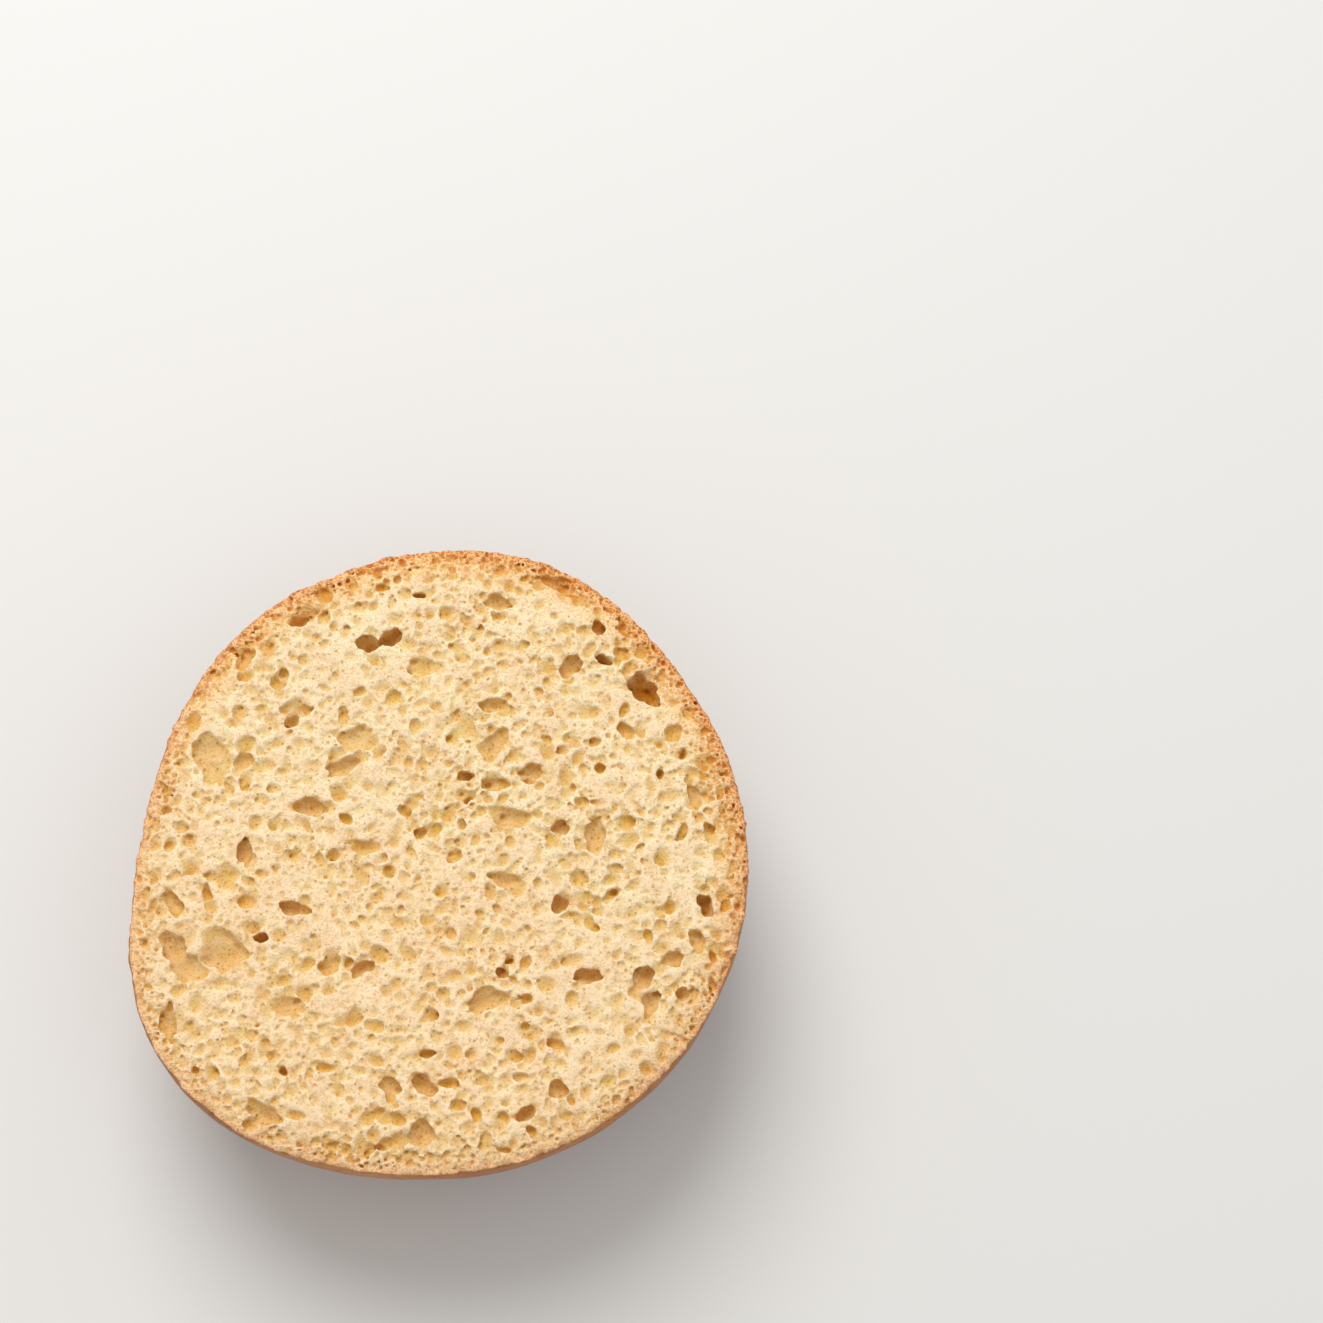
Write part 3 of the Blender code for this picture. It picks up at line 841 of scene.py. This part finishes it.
def crumb_colour(tree, patterns):
    """Cream to ochre by depth, partly painted shade; straw-coloured pits, whiter rims, fine grain, a few dark
    specks.
    """
    deep = add_node(
        tree, "Math", SCALE_AND_ADD, {0: patterns["swirl"], 1: DEPTH_WANDER, 2: patterns["depth"]}
    )
    top, floor = (mm + DEPTH_WANDER / 2 for mm in CRUMB_DEPTHS)
    by_depth = add_node(tree, "MapRange", {}, {"Value": deep, "From Min": top, "From Max": floor})
    narrow, wide = (
        add_node(tree, "ValToRGB", {}, {"Fac": by_depth}, ramp_stops(CRUMB_DEPTHS, colours))
        for colours in (NARROW_HOLE_SKIN_AND_SHADE, WIDE_DISH_SKIN_AND_SHADE)
    )
    # Narrow holes take the ramp with the deeper painted shade, wide dishes the paler one.
    openness = add_node(
        tree,
        "MapRange",
        SMOOTH,
        {"Value": patterns["openness"], "From Min": OPENNESS[0], "From Max": OPENNESS[1]},
    )
    colour = add_node(tree, "Mix", COLOUR, {0: openness, 6: narrow, 7: wide}, output=2)
    layers = (  # pattern, where it starts and is at its full, its greatest strength, way to mix, colour
        ("patch", (0.35, 0.65), 0.6, "MULTIPLY", "#F8ECE6"),
        ("thinness", (0.04, 0.14), 0.22, "MIX", "#FFF3D8"),
        ("grain", (0.50, 0.34), 0.58, "MULTIPLY", "#E4CEAA"),
        ("grain", (0.52, 0.66), 0.42, "SCREEN", "#5A5240"),
    )
    for name, span, most, way, tint in layers:
        colour = lay_over(tree, colour, patterns[name], span, most, way, tint)
    # The finest pits are darkened to straw, partly their bubbles' skin and partly painted shade.
    cells = (  # shape, range of it, its random number, range of that, greatest strength, way to mix, colour
        ("pit", (0.34, 0.16), "pit_random", (0.3, 0.9), 0.9, "MULTIPLY", "#DDC59E"),
        ("speck", (0.15, 0.05), "speck_random", (0.35, 0.9), 0.7, "MIX", "#A27C4E"),
    )
    for shape, (edge, middle), random, (none, full), most, way, tint in cells:
        within = add_node(
            tree, "MapRange", SMOOTH, {"Value": patterns[shape], "From Min": edge, "From Max": middle}
        )
        chosen = add_node(
            tree,
            "MapRange",
            {},
            {"Value": patterns[random], "From Min": none, "From Max": full, "To Max": most},
        )
        strength = add_node(tree, "Math", {"operation": "MULTIPLY"}, {0: within, 1: chosen})
        kind = COLOUR | {"blend_type": way}
        colour = add_node(tree, "Mix", kind, {0: strength, 6: colour, 7: linear(tint)}, output=2)
    return colour


# %% [markdown]
# ### Browning towards the crust
# The oven dried and browned the outer three or four millimetres. In the pits of that zone the colour is
# deep, the browning with painted shade on top, while the torn walls between them stay peach, which gives
# the cut crust its grainy look. It caught more heat on one side than on the other.

# %% Browning of the crumb
BROWN_SPAN = (0.3, 4.5)  # mm from the outside
BROWN_WALLS = ((0.3, "#F6B684"), (0.72, "#FFDEB8"), (1.8, "#FFF4E2"), (3.7, "#FFFFFF"))
# The pits' ramp is browning darkened further by painted shade in the hollows.
BROWN_PITS_AND_SHADE = ((0.3, "#A85620"), (0.72, "#DC8E4C"), (1.8, "#F7CE9E"), (3.0, "#FAE6CA"), (4.5, "#FFFFFF"))
HOT_SIDE = (0.4, 0.9, 0.0)  # the side that browned most
MILD_REACH, HOT_REACH = 0.8, 1.8  # how far the browning goes in on either side, as a share of its span
MILD = 0.5  # how much of the browning the mild side lacks
MILD_SIDE, FULL_HEAT = -0.8, 1.0  # where each lies, as the cosine of the angle to the hot side
RIM_WANDER = 0.8  # mm by which the swirl shifts the browning
CELL_PIT = (0.04, 0.26, 0.9)  # wall and pit of one of the finest cells, as shares of it, and strength
HOLE_PIT = (0.03, -0.10, 1.0)  # wall and pit of what is modelled, in mm of thinness, and strength
FAINT_TINT = "#FFF0E4"  # what the mild side shows in its place


def crumb_browning(tree, where, patterns):
    """A tint to multiply the crumb with: white inside, peach walls and pits brown with painted shade near the
    outside.
    """
    flat = add_node(tree, "VectorMath", {"operation": "MULTIPLY"}, {0: where, 1: (1.0, 1.0, 0.0)})
    side = add_node(tree, "VectorMath", {"operation": "NORMALIZE"}, {0: flat})
    towards = add_node(
        tree, "VectorMath", {"operation": "DOT_PRODUCT"}, {0: side, 1: HOT_SIDE}, output="Value"
    )
    reach_here, lack = (
        add_node(
            tree,
            "MapRange",
            SMOOTH,
            {"Value": towards, "From Min": MILD_SIDE, "From Max": FULL_HEAT, "To Min": mild, "To Max": hot},
        )
        for mild, hot in ((MILD_REACH, HOT_REACH), (MILD, 0.0))
    )
    scaled = add_node(tree, "Math", {"operation": "DIVIDE"}, {0: patterns["inward"], 1: reach_here})
    wander = {0: patterns["swirl"], 1: RIM_WANDER, 2: scaled}
    from_rim = add_node(tree, "Math", SCALE_AND_ADD, wander)
    span = {"From Min": BROWN_SPAN[0], "From Max": BROWN_SPAN[1]}
    reach = add_node(tree, "MapRange", {}, {"Value": from_rim, **span})
    walls, pits = (
        add_node(tree, "ValToRGB", {}, {"Fac": reach}, ramp_stops(BROWN_SPAN, stops))
        for stops in (BROWN_WALLS, BROWN_PITS_AND_SHADE)
    )
    fine_pit, modelled_pit = (
        add_node(
            tree,
            "MapRange",
            SMOOTH,
            {"Value": patterns[shape], "From Min": wall, "From Max": middle, "To Max": most},
        )
        for shape, (wall, middle, most) in (("cell_wall", CELL_PIT), ("thinness", HOLE_PIT))
    )
    pit = add_node(tree, "Math", {"operation": "MAXIMUM"}, {0: fine_pit, 1: modelled_pit})
    tint = add_node(tree, "Mix", COLOUR, {0: pit, 6: walls, 7: pits}, output=2)
    return add_node(tree, "Mix", COLOUR, {0: lack, 6: tint, 7: linear(FAINT_TINT)}, output=2)


# %% Open crumb
CRUMB_RELIEF = {"grain": 0.6, "swirl": 0.6}  # shares of the relief's height
CRUMB_HEIGHT, CRUMB_BUMP = 0.10, 0.7  # mm, and how strongly it tilts the light
PIT_FLOOR = (0.32, 0.12, -0.6)  # edge and middle of the finest bubbles, and how deep they go
RIM_CELL = (0.02, 0.25, -1.0)  # the same for the cells by the crust
DENSE_RIM = (5.0, 0.5)  # mm from the outside, where those cells are faintest and plainest
FAINT_CELLS = 0.25  # how plain they are inside


def make_crumb():
    """Matte, pale and grainy, browned towards the outside."""
    crumb, tree, where = new_finish("open_crumb")
    patterns = crumb_patterns(tree, where)
    browned = add_node(
        tree,
        "Mix",
        COLOUR | {"blend_type": "MULTIPLY"},
        {0: 1.0, 6: crumb_colour(tree, patterns), 7: crumb_browning(tree, where, patterns)},
        output=2,
    )
    relief, rim_cells = (
        add_node(
            tree,
            "MapRange",
            SMOOTH,
            {"Value": patterns[shape], "From Min": edge, "From Max": middle, "To Max": floor},
        )
        for shape, (edge, middle, floor) in (("pit", PIT_FLOOR), ("cell_wall", RIM_CELL))
    )
    for name, share in CRUMB_RELIEF.items():
        relief = add_node(tree, "Math", SCALE_AND_ADD, {0: patterns[name], 1: share, 2: relief})
    rim = {"From Min": DENSE_RIM[0], "From Max": DENSE_RIM[1], "To Min": FAINT_CELLS}
    by_rim = add_node(tree, "MapRange", {}, {"Value": patterns["inward"], **rim})
    relief = add_node(tree, "Math", SCALE_AND_ADD, {0: rim_cells, 1: by_rim, 2: relief})
    bumps = {"Strength": CRUMB_BUMP, "Distance": CRUMB_HEIGHT * MM}
    bump = add_node(tree, "Bump", {}, {"Height": relief, **bumps})
    shader = add_node(
        tree,
        "BsdfPrincipled",
        {},
        {"Base Color": browned, "Roughness": 0.8, "IOR": 1.45, "Specular IOR Level": 0.12, "Normal": bump},
    )
    add_node(tree, "OutputMaterial", {}, {"Surface": shader})
    return crumb


roll.data.materials.append(make_crumb())
print("open crumb:", len(roll.data.materials[0].node_tree.nodes), "nodes")

# %% [markdown]
# ### Baked crust
# The outside is a dry, thin skin, browned where the sugar and protein of the dough met the heat: golden
# where it is thin, red-brown where it caught the heat. It is satin, not glossy, and as it cooled and shrank
# it took on fine wrinkles and tiny blisters, which break the highlight up. The bottoms of the wrinkles are
# darkened with painted shade, and their ridges lightened with a painted highlight.

# %% Baked crust
CRUST_NOISES = {  # size in mm, detail, roughness
    "patch": (24.0, 2.0, 0.5),  # where the oven's heat fell unevenly
    "mottle": (4.0, 6.0, 0.68),
    "blister": (1.3, 3.0, 0.6),
    "dimple": (6.0, 1.0, 0.5),
    "wrinkle": (0.9, 5.0, 0.66),
}
CRUST_HEAT = {"patch": 0.55, "mottle": 0.26}  # how much each noise changes the browning
PALE_EDGE, DARK_CROWN = 29.0, 13.0  # mm over the table, where the crust is palest and darkest
DARK_HEAT = 0.26  # how much browner the crown is than the edge
CRUST_COLOURS = ((0.22, "#DA9F55"), (0.40, "#C47C38"), (0.60, "#A35A22"), (0.82, "#763710"))
CRUST_SPOTS_AND_SHADING = (  # noise, range of it that is a spot, greatest strength, way to mix, colour
    ("blister", (0.54, 0.68), 0.35, "MULTIPLY", "#C49C78"),  # stands out and browned first
    ("wrinkle", (0.46, 0.34), 0.30, "MULTIPLY", "#B08460"),  # painted shade in the bottom of a wrinkle
    ("wrinkle", (0.56, 0.70), 0.25, "SCREEN", "#4A3018"),  # painted highlight on its ridge
)
CRUST_RELIEF = {"dimple": 2.0, "blister": 0.5, "wrinkle": 1.0}
CRUST_HEIGHT, CRUST_BUMP = 0.5, 0.9  # mm, and how strongly it tilts the light
GLOSS = (0.34, 0.56)  # roughness, from the shiniest to the dullest places


def make_crust():
    """Golden to red-brown satin skin with blisters, dimples and fine wrinkles, with painted shade and
    highlights.
    """
    crust, tree, where = new_finish("baked_crust")
    noises = {}
    for name, (size, detail, roughness) in CRUST_NOISES.items():
        kind = {"Scale": per_metre(size), "Detail": detail, "Roughness": roughness, "Distortion": 0.3}
        noises[name] = add_node(tree, "TexNoise", {}, {"Vector": where, **kind})
    height = add_node(tree, "Attribute", {"attribute_name": "height"}, output="Fac")
    heat = add_node(
        tree,
        "MapRange",
        SMOOTH,
        {"Value": height, "From Min": PALE_EDGE, "From Max": DARK_CROWN, "To Max": DARK_HEAT},
    )
    for name, share in CRUST_HEAT.items():
        heat = add_node(tree, "Math", SCALE_AND_ADD, {0: noises[name], 1: share, 2: heat})
    colour = add_node(tree, "ValToRGB", {}, {"Fac": heat}, CRUST_COLOURS)
    for name, span, most, way, tint in CRUST_SPOTS_AND_SHADING:
        colour = lay_over(tree, colour, noises[name], span, most, way, tint)
    relief = 0.0
    for name, share in CRUST_RELIEF.items():
        relief = add_node(tree, "Math", SCALE_AND_ADD, {0: noises[name], 1: share, 2: relief})
    gloss = add_node(
        tree, "MapRange", {}, {"Value": noises["mottle"], "To Min": GLOSS[0], "To Max": GLOSS[1]}
    )
    bumps = {"Strength": CRUST_BUMP, "Distance": CRUST_HEIGHT * MM}
    bump = add_node(tree, "Bump", {}, {"Height": relief, **bumps})
    shader = add_node(
        tree,
        "BsdfPrincipled",
        {},
        {
            "Base Color": colour, "Roughness": gloss, "IOR": 1.45, "Specular IOR Level": 0.35,
            "Coat Weight": 0.12, "Coat Roughness": 0.35, "Normal": bump, "Coat Normal": bump,
        },
    )
    add_node(tree, "OutputMaterial", {}, {"Surface": shader})
    return crust


roll.data.materials.append(make_crust())
print("baked crust:", len(roll.data.materials[1].node_tree.nodes), "nodes")

# %% Give the outer skin the crust
is_skin = ~in_slab | (look_up(uncut, points) > look_up(cut_field, points))
outside = is_skin[mesh_triangles(roll)].all(axis=1)
roll.data.polygons.foreach_set("material_index", outside.astype(np.int32))
print(int(outside.sum()), "triangles of crust,", int((~outside).sum()), "of crumb")

# %% The roll stands for the plain solid
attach(roll, "root")
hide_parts("roll_half")

# %% [markdown]
# ## The floor and the light
# The object stands alone on a plain pale floor. As in the photo, one large soft light comes from behind the
# roll and a little from the left, so the far wall of each hole lies in shadow and the near wall catches the
# light, and a pale sky fills in the rest.

# %% Floor
FLOOR_SIZE = 30.0  # m, so that its edge lies out of sight
bpy.ops.object.select_all(action="DESELECT")
bpy.ops.mesh.primitive_plane_add(size=FLOOR_SIZE)
floor = bpy.context.object
floor.name = "floor"
surface, tree, _ = new_finish("pale_floor")
paint = add_node(
    tree, "BsdfPrincipled", {}, {"Base Color": linear("#E6E4E0"), "Roughness": 0.7, "Specular IOR Level": 0.2}
)
add_node(tree, "OutputMaterial", {}, {"Surface": paint})
floor.data.materials.append(surface)

# %% Light
KEY_PLACE, KEY_SIZE, KEY_POWER = Vector((-0.20, 0.60, 0.75)), 0.7, 6.6  # m, m, W
SKY_STRENGTH = 0.59
light = bpy.data.lights.new("key", "AREA")
light.shape, light.size, light.energy = "DISK", KEY_SIZE, KEY_POWER
key = add_object("key", light)
key.location = KEY_PLACE
key.rotation_euler = (KEY_PLACE - FACE_CENTRE).to_track_quat("Z", "Y").to_euler()
world = bpy.data.worlds.new("pale_sky")
world.use_nodes = True
background = world.node_tree.nodes["Background"]
background.inputs["Color"].default_value = linear("#FFFFFF")
background.inputs["Strength"].default_value = SKY_STRENGTH
bpy.context.scene.world = world
bpy.context.scene.view_settings.view_transform = "Standard"
